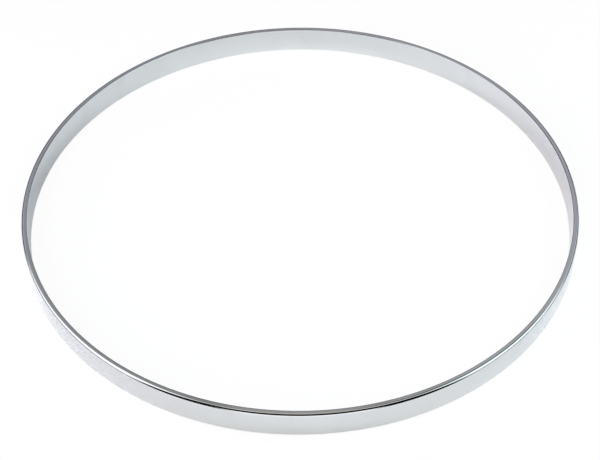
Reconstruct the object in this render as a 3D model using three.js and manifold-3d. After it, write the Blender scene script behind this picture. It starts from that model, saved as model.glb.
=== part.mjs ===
// A straight counter-hoop for a fourteen-inch drum, in millimetres, with +Z up.
// It is a flat steel bar, rolled into a ring and closed by a single butt weld. Its outer corners are
// well rounded and its inner ones only eased.
// The two ends of the bar are bevelled into a V that is wide on the outside. The weld fills the V,
// is ground flush on the outside and on both edges, and keeps a low bead at its root, on the inside.
// The hoop stands on its lower edge, and the origin is the centre of the circle where it stands.
import * as THREE from "three";
import { mergeVertices } from "three/addons/utils/BufferGeometryUtils.js";
import Module from "manifold-3d";

const wasm = await Module();
wasm.setup();

// The drum that the hoop goes round
const SHELL_DIAMETER = 355.6;
const SHELL_CLEARANCE = 1.2;

// The flat bar, whose corner rounds can each take up at most a share of half of its thickness
const BAR_THICKNESS = 4;
const BAR_HEIGHT = 19;
const OUTER_ROUND = 1.8;
const INNER_ROUND = 0.75;
const LARGEST_ROUND_SHARE = 0.9;

// The butt weld, whose root bead is narrower than the gap at the root
const ROOT_GAP = 1.2;
const BEVEL_ANGLE = THREE.MathUtils.degToRad(30);
const ROOT_BEAD_HEIGHT = 0.3;
const ROOT_BEAD_WIDTH_SHARE = 0.8;

// How far a solid that cuts or joins runs past the faces that it meets
const OVERRUN = 1;

// How finely the round surfaces are faceted
const RING_FACETS = 160;
const CORNER_DIVISIONS = 2;
const BEAD_DIVISIONS = 4;

const BORE_RADIUS = SHELL_DIAMETER / 2 + SHELL_CLEARANCE;
const OUTER_RADIUS = BORE_RADIUS + BAR_THICKNESS;
const LARGEST_ROUND = (LARGEST_ROUND_SHARE * BAR_THICKNESS) / 2;
const OUTER_CORNER_RADIUS = Math.min(OUTER_ROUND, LARGEST_ROUND);
const INNER_CORNER_RADIUS = Math.min(INNER_ROUND, LARGEST_ROUND);

const chrome = { color: 0xd3d7da, roughness: 0.05, metalness: 1 };

// A closed geometry as a solid that can be cut and joined.
function solidOf(geometry) {
  const bare = geometry.clone();
  bare.deleteAttribute("normal");
  bare.deleteAttribute("uv");
  const merged = mergeVertices(bare);
  return new wasm.Manifold(
    new wasm.Mesh({
      numProp: 3,
      vertProperties: merged.getAttribute("position").array,
      triVerts: new Uint32Array(merged.getIndex().array),
    }),
  );
}

function geometryOf(solid) {
  const mesh = solid.getMesh();
  const geometry = new THREE.BufferGeometry();
  geometry.setAttribute("position", new THREE.BufferAttribute(mesh.vertProperties, 3));
  geometry.setIndex(new THREE.BufferAttribute(mesh.triVerts, 1));
  geometry.computeVertexNormals();
  return geometry;
}

function namedMesh(name, solid, finish) {
  const mesh = new THREE.Mesh(geometryOf(solid), new THREE.MeshStandardMaterial(finish));
  mesh.name = name;
  return mesh;
}

// The bar's section, as (radius, height): a rectangle with a quarter round at each corner.
function barSection() {
  const inner = BORE_RADIUS + INNER_CORNER_RADIUS;
  const outer = OUTER_RADIUS - OUTER_CORNER_RADIUS;
  const innerHigh = BAR_HEIGHT - INNER_CORNER_RADIUS;
  const outerHigh = BAR_HEIGHT - OUTER_CORNER_RADIUS;
  const quarter = Math.PI / 2;
  const section = new THREE.Shape();
  section.absarc(outer, outerHigh, OUTER_CORNER_RADIUS, 0, quarter);
  section.absarc(inner, innerHigh, INNER_CORNER_RADIUS, quarter, 2 * quarter);
  section.absarc(inner, INNER_CORNER_RADIUS, INNER_CORNER_RADIUS, 2 * quarter, 3 * quarter);
  section.absarc(outer, OUTER_CORNER_RADIUS, OUTER_CORNER_RADIUS, 3 * quarter, 4 * quarter);
  section.closePath();
  return section.getPoints(CORNER_DIVISIONS);
}

// The bar as a whole ring, before the place of the weld is cut out of it.
function wholeRing() {
  const ring = new THREE.LatheGeometry(barSection(), RING_FACETS);
  ring.rotateX(Math.PI / 2);
  return solidOf(ring);
}

// The gap between the bevelled ends at the front of the ring, from below the bar to above it.
function weldGroove() {
  const rootHalf = ROOT_GAP / 2;
  const faceHalf = rootHalf + BAR_THICKNESS * Math.tan(BEVEL_ANGLE);
  const outline = new THREE.Shape();
  outline.moveTo(rootHalf, -BORE_RADIUS + OVERRUN);
  outline.lineTo(-rootHalf, -BORE_RADIUS + OVERRUN);
  outline.lineTo(-rootHalf, -BORE_RADIUS);
  outline.lineTo(-faceHalf, -OUTER_RADIUS);
  outline.lineTo(-faceHalf, -OUTER_RADIUS - OVERRUN);
  outline.lineTo(faceHalf, -OUTER_RADIUS - OVERRUN);
  outline.lineTo(faceHalf, -OUTER_RADIUS);
  outline.lineTo(rootHalf, -BORE_RADIUS);
  outline.closePath();
  const groove = new THREE.ExtrudeGeometry(outline, {
    depth: BAR_HEIGHT + 2 * OVERRUN,
    bevelEnabled: false,
  });
  groove.translate(0, 0, -OVERRUN);
  return solidOf(groove);
}

// The low bead along the root of the weld, which stands out of the bore between the inner rounds.
function rootBead() {
  const half = (ROOT_BEAD_WIDTH_SHARE * ROOT_GAP) / 2;
  const inTheWeld = BORE_RADIUS + BAR_THICKNESS / 2;
  const outline = new THREE.Shape();
  outline.moveTo(-half, -inTheWeld);
  outline.lineTo(half, -inTheWeld);
  outline.lineTo(half, -BORE_RADIUS);
  outline.absellipse(0, -BORE_RADIUS, half, ROOT_BEAD_HEIGHT, 0, Math.PI);
  outline.closePath();
  const bead = new THREE.ExtrudeGeometry(outline, {
    depth: BAR_HEIGHT - 2 * INNER_CORNER_RADIUS,
    bevelEnabled: false,
    curveSegments: BEAD_DIVISIONS,
  });
  bead.translate(0, 0, INNER_CORNER_RADIUS);
  return solidOf(bead);
}

const ring = wholeRing();
const groove = weldGroove();
const hoop = new THREE.Group();
hoop.add(namedMesh("hoop_bar", ring.subtract(groove), chrome));
hoop.add(namedMesh("butt_weld", ring.intersect(groove).add(rootBead()), chrome));

export default hoop;
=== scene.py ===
import math

import bmesh
import bpy
from mathutils import Matrix, Quaternion, Vector


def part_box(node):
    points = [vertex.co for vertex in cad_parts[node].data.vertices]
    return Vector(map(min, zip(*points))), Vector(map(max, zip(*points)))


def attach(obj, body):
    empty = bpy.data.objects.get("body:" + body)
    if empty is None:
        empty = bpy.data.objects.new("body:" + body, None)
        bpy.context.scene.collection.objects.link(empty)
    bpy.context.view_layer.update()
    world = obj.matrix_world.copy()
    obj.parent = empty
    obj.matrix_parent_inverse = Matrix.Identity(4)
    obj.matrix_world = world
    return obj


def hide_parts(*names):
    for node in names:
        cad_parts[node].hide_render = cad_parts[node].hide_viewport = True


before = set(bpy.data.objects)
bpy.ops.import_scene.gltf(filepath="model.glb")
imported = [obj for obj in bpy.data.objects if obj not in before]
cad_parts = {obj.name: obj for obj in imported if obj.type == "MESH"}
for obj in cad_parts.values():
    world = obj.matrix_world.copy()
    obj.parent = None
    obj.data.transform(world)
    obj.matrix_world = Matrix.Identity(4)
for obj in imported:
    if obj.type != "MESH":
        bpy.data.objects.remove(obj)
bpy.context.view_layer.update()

# The bar and its weld, in metres, read from the far corners of their boxes where these give them
BAR_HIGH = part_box("hoop_bar")[1]
WELD_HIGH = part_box("butt_weld")[1]
BAR_THICKNESS = 0.004
OUTER_ROUND = 0.0018
INNER_ROUND = 0.00075
BAR_HEIGHT = BAR_HIGH.z
OUTER_RADIUS = BAR_HIGH.x
BORE_RADIUS = OUTER_RADIUS - BAR_THICKNESS
WELD_BEVEL = math.radians(30)
WELD_FACE_HALF = WELD_HIGH.x
WELD_ROOT_HALF = WELD_FACE_HALF - BAR_THICKNESS * math.tan(WELD_BEVEL)
WELD_AZIMUTH = -math.pi / 2

# The bead along the root of the weld, which is narrower than the root and thins out towards its ends
BEAD_HEIGHT = 0.0003
BEAD_WIDTH_SHARE = 0.8
BEAD_HALF = BEAD_WIDTH_SHARE * WELD_ROOT_HALF
BEAD_END = 0.0012
# The ripples that the filler froze in, whose middles lie above their ends by the bow
RIPPLE_HEIGHT = 0.00003
RIPPLE_PITCH = 0.0009
RIPPLE_BOW = 0.0004

# The blanks that the bevels cut: the bar's leaves only a share of the root open, and the weld's is wider
# than the weld. The cuts through the bar touch nothing farther from the weld's middle than their reach.
BAR_BLANK_GAP_SHARE = 0.5
WELD_BLANK_SHARE = 1.1
CUT_REACH = 3 * WELD_FACE_HALF

# How finely the surfaces are divided
RING_STEPS = 720
WELD_STEPS = 96
CORNER_SEGMENTS = 8
BEAD_LEVELS = 120

# The narrow strip of each flat face beside a corner round, which keeps the shading of the rest flat
EDGE_STRIP = 0.00004
# Less than this is no length at all
NOTHING = 1e-6
# A point this near to a cut lies on it
ON_THE_CUT = 1e-7

# The camera, from the outlines in the photograph, which is 600 pixels wide
PHOTO_WIDTH = 600
FOCAL_PIXELS = 1319.6
CAMERA_DISTANCE = 0.8757
CAMERA_ELEVATION = math.radians(45.124)
CAMERA_ROLL = math.radians(0.555)
CAMERA_TARGET = Vector((-0.00014, -0.01609, 0))
SENSOR_WIDTH = 36


def make_camera():
    camera = bpy.data.objects.new("camera", bpy.data.cameras.new("camera"))
    bpy.context.scene.collection.objects.link(camera)
    back = Vector((0, -math.cos(CAMERA_ELEVATION), math.sin(CAMERA_ELEVATION)))
    level = (-back).to_track_quat("-Z", "Y")
    camera.location = CAMERA_TARGET + CAMERA_DISTANCE * back
    camera.rotation_mode = "QUATERNION"
    camera.rotation_quaternion = level @ Quaternion((0, 0, 1), -CAMERA_ROLL)
    camera.data.sensor_width = SENSOR_WIDTH
    camera.data.lens = SENSOR_WIDTH * FOCAL_PIXELS / PHOTO_WIDTH
    bpy.context.scene.camera = camera


# The hoop's shapes


def is_straight(edge):
    """Whether an edge of the section lies on one of its flat faces and not on a corner round."""
    step = edge.verts[1].co - edge.verts[0].co
    return min(abs(step.x), abs(step.z)) < NOTHING


def bar_section(bore_cuts=0):
    """The bar's section as a loop of edges in the XZ plane: a rectangle with rounded corners."""
    section = bmesh.new()
    outline = [(BORE_RADIUS, 0), (OUTER_RADIUS, 0), (OUTER_RADIUS, BAR_HEIGHT), (BORE_RADIUS, BAR_HEIGHT)]
    corners = [section.verts.new((radius, 0, height)) for radius, height in outline]
    section.faces.new(corners)
    bore_corners, outer_corners = [corners[0], corners[3]], [corners[1], corners[2]]
    for rounded, radius in ((bore_corners, INNER_ROUND), (outer_corners, OUTER_ROUND)):
        bmesh.ops.bevel(
            section,
            geom=rounded,
            offset=radius,
            offset_type="OFFSET",
            segments=CORNER_SEGMENTS,
            profile=0.5,
            affect="VERTICES",
            material=-1,
        )
    for edge in [e for e in section.edges if is_straight(e)]:
        for end in list(edge.verts):
            bmesh.utils.edge_split(edge, end, EDGE_STRIP / edge.calc_length())
    if bore_cuts:
        bore = [e for e in section.edges if all(v.co.x < BORE_RADIUS + NOTHING for v in e.verts)]
        longest = max(bore, key=lambda e: e.calc_length())
        bmesh.ops.subdivide_edges(section, edges=[longest], cuts=bore_cuts)
    bmesh.ops.delete(section, geom=section.faces[:], context="FACES_ONLY")
    return section


def spin_section(section, first_azimuth, sweep, steps):
    turn = Matrix.Rotation(first_azimuth, 3, "Z")
    bmesh.ops.rotate(section, verts=section.verts[:], cent=(0, 0, 0), matrix=turn)
    bmesh.ops.spin(
        section,
        geom=section.verts[:] + section.edges[:],
        cent=(0, 0, 0),
        axis=(0, 0, 1),
        angle=sweep,
        steps=steps,
    )


def within_reach(face, side):
    """Whether a face lies beside the weld, to its right (1) or its left (-1)."""
    middle = face.calc_center_median()
    return middle.y < 0 and 0 <= side * middle.x < CUT_REACH


def cut_along_bevel(mesh, side, keep_weld):
    """Cuts a mesh by the bevelled end of the bar to the right (1) or the left (-1) of the weld."""
    faces = [f for f in mesh.faces if keep_weld or within_reach(f, side)]
    edges = {e for f in faces for e in f.edges}
    verts = {v for f in faces for v in f.verts}
    bmesh.ops.bisect_plane(
        mesh,
        geom=[*verts, *edges, *faces],
        dist=ON_THE_CUT,
        plane_co=(side * WELD_ROOT_HALF, -BORE_RADIUS, 0),
        plane_no=(side * math.cos(WELD_BEVEL), math.sin(WELD_BEVEL), 0),
        clear_outer=keep_weld,
        clear_inner=not keep_weld,
    )


def close_ends(mesh):
    """Fills the open ends, with a sharp edge round each, and turns every face outwards."""
    rims = [e for e in mesh.edges if e.is_boundary]
    bmesh.ops.holes_fill(mesh, edges=rims, sides=0)
    bmesh.ops.recalc_face_normals(mesh, faces=mesh.faces[:])
    for face in mesh.faces:
        face.smooth = True
    for edge in rims:
        edge.smooth = False


def new_object(name, mesh, material):
    data = bpy.data.meshes.new(name)
    mesh.to_mesh(data)
    mesh.free()
    data.materials.append(material)
    made = bpy.data.objects.new(name, data)
    bpy.context.scene.collection.objects.link(made)
    return made


def finish_piece(name, mesh, material, node):
    """Puts a dressed piece in the place of its node."""
    piece = new_object(name, mesh, material)
    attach(piece, "root")
    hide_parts(node)


def make_hoop_bar(material):
    """The bar, rolled round from one bevelled end to the other."""
    mesh = bar_section()
    half_gap = BAR_BLANK_GAP_SHARE * WELD_ROOT_HALF / OUTER_RADIUS
    spin_section(mesh, WELD_AZIMUTH + half_gap, 2 * math.pi - 2 * half_gap, RING_STEPS)
    for side in (1, -1):
        cut_along_bevel(mesh, side, keep_weld=False)
    close_ends(mesh)
    finish_piece("rolled_bar", mesh, material, "hoop_bar")


def raise_bead(mesh):
    """Lifts the middle of the weld's inner face into a low bead with ripples across it."""
    for vert in mesh.verts:
        on_bore = math.hypot(vert.co.x, vert.co.y) < BORE_RADIUS + NOTHING
        from_end = min(vert.co.z, BAR_HEIGHT - vert.co.z) - INNER_ROUND
        across = abs(vert.co.x) / BEAD_HALF
        if not on_bore or across >= 1 or from_end <= 0:
            continue
        crown = math.sqrt(1 - across**2)
        end = min(1, from_end / BEAD_END)
        rise = math.sqrt(1 - (1 - end) ** 2)
        phase = (vert.co.z + RIPPLE_BOW * across**2) / RIPPLE_PITCH
        ripple = RIPPLE_HEIGHT * (math.cos(2 * math.pi * phase) - 1) / 2
        vert.co.y += crown * rise * (BEAD_HEIGHT + ripple)


def make_butt_weld(material):
    """The filler between the bevelled ends, flush outside and with its bead inside."""
    mesh = bar_section(bore_cuts=BEAD_LEVELS)
    half_sweep = WELD_BLANK_SHARE * math.asin(WELD_FACE_HALF / BORE_RADIUS)
    spin_section(mesh, WELD_AZIMUTH - half_sweep, 2 * half_sweep, WELD_STEPS)
    for side in (1, -1):
        cut_along_bevel(mesh, side, keep_weld=True)
    close_ends(mesh)
    raise_bead(mesh)
    finish_piece("dressed_weld", mesh, material, "butt_weld")


# The chrome

# Its colour where it is clean and where a faint haze lies on it
CLEAN_CHROME = (0.69, 0.7, 0.71, 1)
HAZY_CHROME = (0.665, 0.672, 0.68, 1)
# How rough the polished plate is, and how rough it is over the weld's bead, which isn't polished
POLISHED = 0.035
HAZED = 0.085
BEAD_PLATE = 0.2
BEAD_HAZE = 0.32
# The polishing lines run round the bar, so they are long along it and narrow across it
LINES_ALONG = 5
LINES_ACROSS = 1500
# A step sideways in radius moves the lines more than one in height, so they differ on every face
RADIUS_SHARE = 1.6
# The patterns of the lines, the hazy smudges, the long waves and the grain of the bead
LINE_NOISE = {"Scale": 1, "Detail": 3, "Roughness": 0.6}
SMUDGE_NOISE = {"Scale": 28, "Detail": 5, "Roughness": 0.62, "Distortion": 0.6}
WAVE_NOISE = {"Scale": 12, "Detail": 1}
GRAIN_NOISE = {"Scale": 1400, "Detail": 2}
# Where the smudges start to show as a haze and where they are a full one
HAZE_START = 0.45
HAZE_FULL = 0.72
# The most that the lines add to the roughness
LINE_ROUGHNESS = HAZED / 2
# The most that the lines, the rolling waves and the grain of the bead stand out, in metres
LINE_DEPTH = 0.0000003
WAVE_DEPTH = 0.000004
GRAIN_DEPTH = 0.00001
# The share of the bead's height above which it is grainy all over
BEAD_FOOT_SHARE = 0.2


def add_node(tree, kind, inputs=None, **settings):
    """A node with its settings, and with each input set to a value or linked to a socket."""
    made = tree.nodes.new(kind)
    for name, value in settings.items():
        setattr(made, name, value)
    for name, value in (inputs or {}).items():
        if isinstance(value, bpy.types.NodeSocket):
            tree.links.new(value, made.inputs[name])
        else:
            made.inputs[name].default_value = value
    return made


def calculate(tree, operation, first, second=0.0, third=0.0):
    """One step of arithmetic on values or sockets, as a socket."""
    return add_node(tree, "ShaderNodeMath", {0: first, 1: second, 2: third}, operation=operation).outputs[0]


def rise_between(tree, value, low, high, first=0.0, last=1.0):
    """A smooth change from first to last while the value goes from low to high."""
    inputs = {"Value": value, "From Min": low, "From Max": high, "To Min": first, "To Max": last}
    return add_node(tree, "ShaderNodeMapRange", inputs, interpolation_type="SMOOTHSTEP").outputs[0]


def noise(tree, place, pattern):
    """A noise over a surface, as a socket."""
    return add_node(tree, "ShaderNodeTexNoise", {"Vector": place, **pattern}).outputs[0]


def place_and_axes(tree):
    """A point on the hoop, whole and as its three axes."""
    place = add_node(tree, "ShaderNodeTexCoord").outputs["Object"]
    return place, add_node(tree, "ShaderNodeSeparateXYZ", {0: place}).outputs


def distance_from_axis(tree, axes):
    """How far a point is from the hoop's axis."""
    level = add_node(tree, "ShaderNodeCombineXYZ", {"X": axes["X"], "Y": axes["Y"]})
    return add_node(tree, "ShaderNodeVectorMath", {0: level.outputs[0]}, operation="LENGTH").outputs["Value"]


def polish_group():
    """Polishing lines round the bar, hazy smudges and the long waves that the rolls left in it."""
    group = bpy.data.node_groups.new("polish", "ShaderNodeTree")
    for name in ("Clean Roughness", "Hazy Roughness"):
        group.interface.new_socket(name, in_out="INPUT", socket_type="NodeSocketFloat")
    group.interface.new_socket("Color", in_out="OUTPUT", socket_type="NodeSocketColor")
    for name in ("Roughness", "Height"):
        group.interface.new_socket(name, in_out="OUTPUT", socket_type="NodeSocketFloat")
    given = add_node(group, "NodeGroupInput")
    clean, hazy = given.outputs["Clean Roughness"], given.outputs["Hazy Roughness"]

    place, axes = place_and_axes(group)
    across = calculate(group, "MULTIPLY_ADD", distance_from_axis(group, axes), RADIUS_SHARE, axes["Z"])
    drawn_out = add_node(
        group,
        "ShaderNodeCombineXYZ",
        {
            "X": calculate(group, "MULTIPLY", axes["X"], LINES_ALONG),
            "Y": calculate(group, "MULTIPLY", axes["Y"], LINES_ALONG),
            "Z": calculate(group, "MULTIPLY", across, LINES_ACROSS),
        },
    )
    lines = noise(group, drawn_out.outputs[0], LINE_NOISE)
    waves = noise(group, place, WAVE_NOISE)
    haze = rise_between(group, noise(group, place, SMUDGE_NOISE), HAZE_START, HAZE_FULL)

    colour = add_node(group, "ShaderNodeMix", {0: haze, 6: CLEAN_CHROME, 7: HAZY_CHROME}, data_type="RGBA")
    smooth = calculate(group, "MULTIPLY_ADD", haze, calculate(group, "SUBTRACT", hazy, clean), clean)
    rough = calculate(group, "MULTIPLY_ADD", lines, LINE_ROUGHNESS, smooth)
    line_height = calculate(group, "MULTIPLY", lines, LINE_DEPTH)
    height = calculate(group, "MULTIPLY_ADD", waves, WAVE_DEPTH, line_height)
    add_node(group, "NodeGroupOutput", {"Color": colour.outputs[2], "Roughness": rough, "Height": height})
    return group


def new_material(name):
    material = bpy.data.materials.new(name)
    material.use_nodes = True
    return material, material.node_tree


def use_polish(tree, group, clean, hazy):
    """Makes a material chrome with the polish in its colour and roughness. Returns the polish's height."""
    roughnesses = {"Clean Roughness": clean, "Hazy Roughness": hazy}
    polish = add_node(tree, "ShaderNodeGroup", roughnesses, node_tree=group)
    shader = tree.nodes["Principled BSDF"]
    shader.inputs["Metallic"].default_value = 1
    tree.links.new(polish.outputs["Color"], shader.inputs["Base Color"])
    tree.links.new(polish.outputs["Roughness"], shader.inputs["Roughness"])
    return polish.outputs["Height"]


def stand_out(tree, height):
    """Lets a height in metres tilt the surface."""
    bump = add_node(tree, "ShaderNodeBump", {"Height": height, "Strength": 1, "Distance": 1})
    tree.links.new(bump.outputs[0], tree.nodes["Principled BSDF"].inputs["Normal"])


def chrome_plate(group):
    material, tree = new_material("chrome_plate")
    stand_out(tree, use_polish(tree, group, POLISHED, HAZED))
    return material


def chrome_over_weld(group):
    """The same plate, polished where the weld is ground flush and grainy over its bead in the bore."""
    material, tree = new_material("chrome_over_weld")
    place, axes = place_and_axes(tree)
    bead_foot = BORE_RADIUS - BEAD_FOOT_SHARE * BEAD_HEIGHT
    bead = rise_between(tree, distance_from_axis(tree, axes), bead_foot, BORE_RADIUS, 1, 0)
    clean = calculate(tree, "MULTIPLY_ADD", bead, BEAD_PLATE - POLISHED, POLISHED)
    hazy = calculate(tree, "MULTIPLY_ADD", bead, BEAD_HAZE - HAZED, HAZED)
    polish_height = use_polish(tree, group, clean, hazy)
    grain = calculate(tree, "MULTIPLY", noise(tree, place, GRAIN_NOISE), bead)
    stand_out(tree, calculate(tree, "MULTIPLY_ADD", grain, GRAIN_DEPTH, polish_height))
    return material


# The studio: a white table, and round it two soft boxes in a dim room

TABLE_RADIUS = 4
TABLE_SEGMENTS = 96
TABLE_COLOUR = (0.95, 0.95, 0.95, 1)
WHITE = (1, 1, 1, 1)
# How much of what the camera sees of the table is plain white. The rest is the lit cloth, with its shade.
CAMERA_WHITE_SHARE = 0.93


def mix_shaders(tree, share, first, second):
    return add_node(tree, "ShaderNodeMixShader", {0: share, 1: first, 2: second}).outputs[0]


def seen_by_camera(tree):
    """Whether a ray comes straight from the camera or through something clear."""
    ray = add_node(tree, "ShaderNodeLightPath")
    return calculate(tree, "ADD", ray.outputs["Is Camera Ray"], ray.outputs["Is Transmission Ray"])


def white_table():
    material, tree = new_material("white_table")
    tree.nodes.clear()
    cloth = add_node(tree, "ShaderNodeBsdfDiffuse", {"Color": TABLE_COLOUR})
    white = add_node(tree, "ShaderNodeEmission", {"Color": WHITE})
    share = calculate(tree, "MULTIPLY", seen_by_camera(tree), CAMERA_WHITE_SHARE)
    surface = mix_shaders(tree, share, cloth.outputs[0], white.outputs[0])
    add_node(tree, "ShaderNodeOutputMaterial", {"Surface": surface})
    return material


def make_table():
    mesh = bmesh.new()
    bmesh.ops.create_circle(mesh, cap_ends=True, segments=TABLE_SEGMENTS, radius=TABLE_RADIUS)
    new_object("table", mesh, white_table())


# The tints of the light
NEUTRAL = (1, 1, 1)
COOL = (0.91, 1, 1.1)
CYAN = (0.87, 1, 1.01)
LILAC = (1, 1, 1.12)
WARM = (1.15, 1, 0.95)
SUNNY = (0.97, 1, 0.88)
SANDY = (1.13, 1, 0.84)
VIOLET = (1.14, 1, 1.3)

# Each part of the room: its azimuth from +X and half of its width, its lower and upper edge and how soft
# its edges are, all in degrees, then its level and its tint. MIRRORED is what the chrome shows. It is
# painted on a dome round the hoop, which is as near as the panels of light are. LIGHTING is far away and
# lights the table, which the chrome shows near its foot.
MIRRORED = {
    "left_box": (191.5, 26.5, 13, 67, 10, 1.57, NEUTRAL),
    "left_top": (195, 40, 67, 80, 8, 0.64, NEUTRAL),
    "left_wing": (150, 15, 22, 66, 8, 0.5, COOL),
    "left_shoulder": (126, 10, 44, 64, 8, 0.33, NEUTRAL),
    "right_box": (-16, 22, 13, 59, 10, 1.55, CYAN),
    "right_top": (-25, 22, 59, 80, 8, 0.87, NEUTRAL),
    "right_wing": (23, 18, 18, 50, 8, 0.62, COOL),
    "right_shoulder": (56, 12, 44, 64, 8, 0.47, NEUTRAL),
    "back_wall_right": (68, 23, 24, 44, 8, 0.45, LILAC),
    "back_wall_left": (113, 22, 24, 44, 8, 0.37, LILAC),
    "back_ceiling": (95, 35, 64, 80, 8, 0.42, NEUTRAL),
    "front_ceiling": (270, 50, 64, 80, 8, 0.51, NEUTRAL),
    "ceiling": (0, 180, 80, 100, 8, 0.57, SANDY),
    "front_strip": (270, 22, -5, 18, 8, 1.56, NEUTRAL),
}
LIGHTING = {
    "left_back": (150, 15, 3, 25, 5, 5.4, VIOLET),
    "left_front": (210, 15, 3, 25, 5, 7.1, WARM),
    "front": (240, 15, 25, 55, 5, 5, SUNNY),
    "right_front": (330, 15, 25, 55, 5, 3.2, NEUTRAL),
    "right_back": (30, 15, 25, 55, 5, 2.3, NEUTRAL),
}
DOME_RADIUS = 0.604
DOME_SEGMENTS = 64
DOME_RINGS = 32

# The panels of light near the hoop: the azimuth and the height above the table of each in degrees, how
# far it is from the middle of the hoop and how wide and high it is, in metres, then its level, on the
# same scale as the room's, and its tint
PANELS = {
    "left_panel": (193, 43, 0.6, 0.32, 0.38, 3.35, COOL),
    "right_panel": (-13, 43, 0.6, 0.32, 0.38, 3.75, COOL),
}


def by_chrome_alone(tree):
    """Whether a ray has met chrome alone on its way from the camera, and not the table."""
    ray = add_node(tree, "ShaderNodeLightPath")
    off_the_table = calculate(tree, "LESS_THAN", ray.outputs["Diffuse Depth"], 1)
    return calculate(tree, "MULTIPLY", ray.outputs["Is Glossy Ray"], off_the_table)


def panel_light(name, level, tint):
    """Light from the front of a panel, which is clear to whatever lies behind it."""
    material, tree = new_material(name)
    material.cycles.emission_sampling = "FRONT"
    tree.nodes.clear()
    behind = add_node(tree, "ShaderNodeNewGeometry").outputs["Backfacing"]
    hidden = calculate(tree, "MAXIMUM", by_chrome_alone(tree), behind)
    strength = calculate(tree, "MULTIPLY_ADD", hidden, -level, level)
    light = add_node(tree, "ShaderNodeEmission", {"Color": (*tint, 1), "Strength": strength})
    clear = add_node(tree, "ShaderNodeBsdfTransparent")
    both = add_node(tree, "ShaderNodeAddShader", {0: light.outputs[0], 1: clear.outputs[0]})
    add_node(tree, "ShaderNodeOutputMaterial", {"Surface": both.outputs[0]})
    return material


def make_panel(name, azimuth, climb, distance, width, height, level, tint):
    """A panel of light that faces the middle of the hoop. Neither the camera nor the chrome shows it."""
    azimuth, climb = math.radians(azimuth), math.radians(climb)
    away = Vector((math.cos(climb) * math.cos(azimuth), math.cos(climb) * math.sin(azimuth), math.sin(climb)))
    turn = (-away).to_track_quat("Z", "Y")
    place = Matrix.LocRotScale(distance * away, turn, (width / 2, height / 2, 1))
    mesh = bmesh.new()
    bmesh.ops.create_grid(mesh, x_segments=1, y_segments=1, size=1, matrix=place)
    panel = new_object(name, mesh, panel_light(name, level, tint))
    panel.visible_camera = False
    panel.visible_shadow = False


def along_level(tree, axes, x_share, y_share):
    """How far a direction goes along a level one, which is given by its two shares."""
    along_y = calculate(tree, "MULTIPLY", axes["Y"], y_share)
    return calculate(tree, "MULTIPLY_ADD", axes["X"], x_share, along_y)


def patch_of_light(tree, axes, climb, azimuth, half_width, low, high, edge):
    """How much of one part of the room lies in a direction, from 0 to 1."""
    degrees = (azimuth, half_width, low, high, edge / 2)
    turn, half_width, low, high, half_edge = (math.radians(angle) for angle in degrees)
    above_low = rise_between(tree, climb, low - half_edge, low + half_edge)
    below_high = rise_between(tree, climb, high - half_edge, high + half_edge, 1, 0)
    share = calculate(tree, "MULTIPLY", above_low, below_high)
    goes_all_round = half_width >= math.pi
    if not goes_all_round:
        ahead = along_level(tree, axes, math.cos(turn), math.sin(turn))
        aside = along_level(tree, axes, -math.sin(turn), math.cos(turn))
        away = calculate(tree, "ABSOLUTE", calculate(tree, "ARCTAN2", aside, ahead))
        inside = rise_between(tree, away, half_width - half_edge, half_width + half_edge, 1, 0)
        share = calculate(tree, "MULTIPLY", share, inside)
    return share


def all_lights(tree, direction, parts):
    """The light of a whole set of parts of the room, as a colour."""
    axes = add_node(tree, "ShaderNodeSeparateXYZ", {0: direction}).outputs
    climb = calculate(tree, "ARCSINE", axes["Z"])
    total = (0, 0, 0)
    for *place, level, tint in parts.values():
        colour = [level * part for part in tint]
        inputs = {0: patch_of_light(tree, axes, climb, *place), 1: colour, 2: total}
        total = add_node(tree, "ShaderNodeVectorMath", inputs, operation="MULTIPLY_ADD").outputs[0]
    return total


def mirrored_room():
    """The part of the room that the chrome shows, which is clear to all other rays."""
    material, tree = new_material("mirrored_room")
    material.cycles.emission_sampling = "NONE"
    tree.nodes.clear()
    place = add_node(tree, "ShaderNodeTexCoord").outputs["Object"]
    direction = add_node(tree, "ShaderNodeVectorMath", {0: place}, operation="NORMALIZE").outputs[0]
    light = add_node(tree, "ShaderNodeEmission", {"Color": all_lights(tree, direction, MIRRORED)})
    clear = add_node(tree, "ShaderNodeBsdfTransparent")
    surface = mix_shaders(tree, by_chrome_alone(tree), clear.outputs[0], light.outputs[0])
    add_node(tree, "ShaderNodeOutputMaterial", {"Surface": surface})
    return material


def make_mirrored_dome():
    mesh = bmesh.new()
    bmesh.ops.create_uvsphere(mesh, u_segments=DOME_SEGMENTS, v_segments=DOME_RINGS, radius=DOME_RADIUS)
    dome = new_object("mirrored_dome", mesh, mirrored_room())
    dome.visible_camera = False
    dome.visible_diffuse = False
    dome.visible_transmission = False
    dome.visible_shadow = False


def make_room():
    """The far room, which lights the table and is plain white to the camera."""
    world = bpy.data.worlds.new("room")
    bpy.context.scene.world = world
    world.use_nodes = True
    tree = world.node_tree
    tree.nodes.clear()
    direction = add_node(tree, "ShaderNodeTexCoord").outputs["Generated"]
    room = add_node(tree, "ShaderNodeBackground", {"Color": all_lights(tree, direction, LIGHTING)})
    white = add_node(tree, "ShaderNodeBackground", {"Color": WHITE})
    surface = mix_shaders(tree, seen_by_camera(tree), room.outputs[0], white.outputs[0])
    add_node(tree, "ShaderNodeOutputWorld", {"Surface": surface})


make_camera()
polish = polish_group()
make_hoop_bar(chrome_plate(polish))
make_butt_weld(chrome_over_weld(polish))
make_table()
for name, panel in PANELS.items():
    make_panel(name, *panel)
make_mirrored_dome()
make_room()
bpy.context.scene.view_settings.view_transform = "Standard"
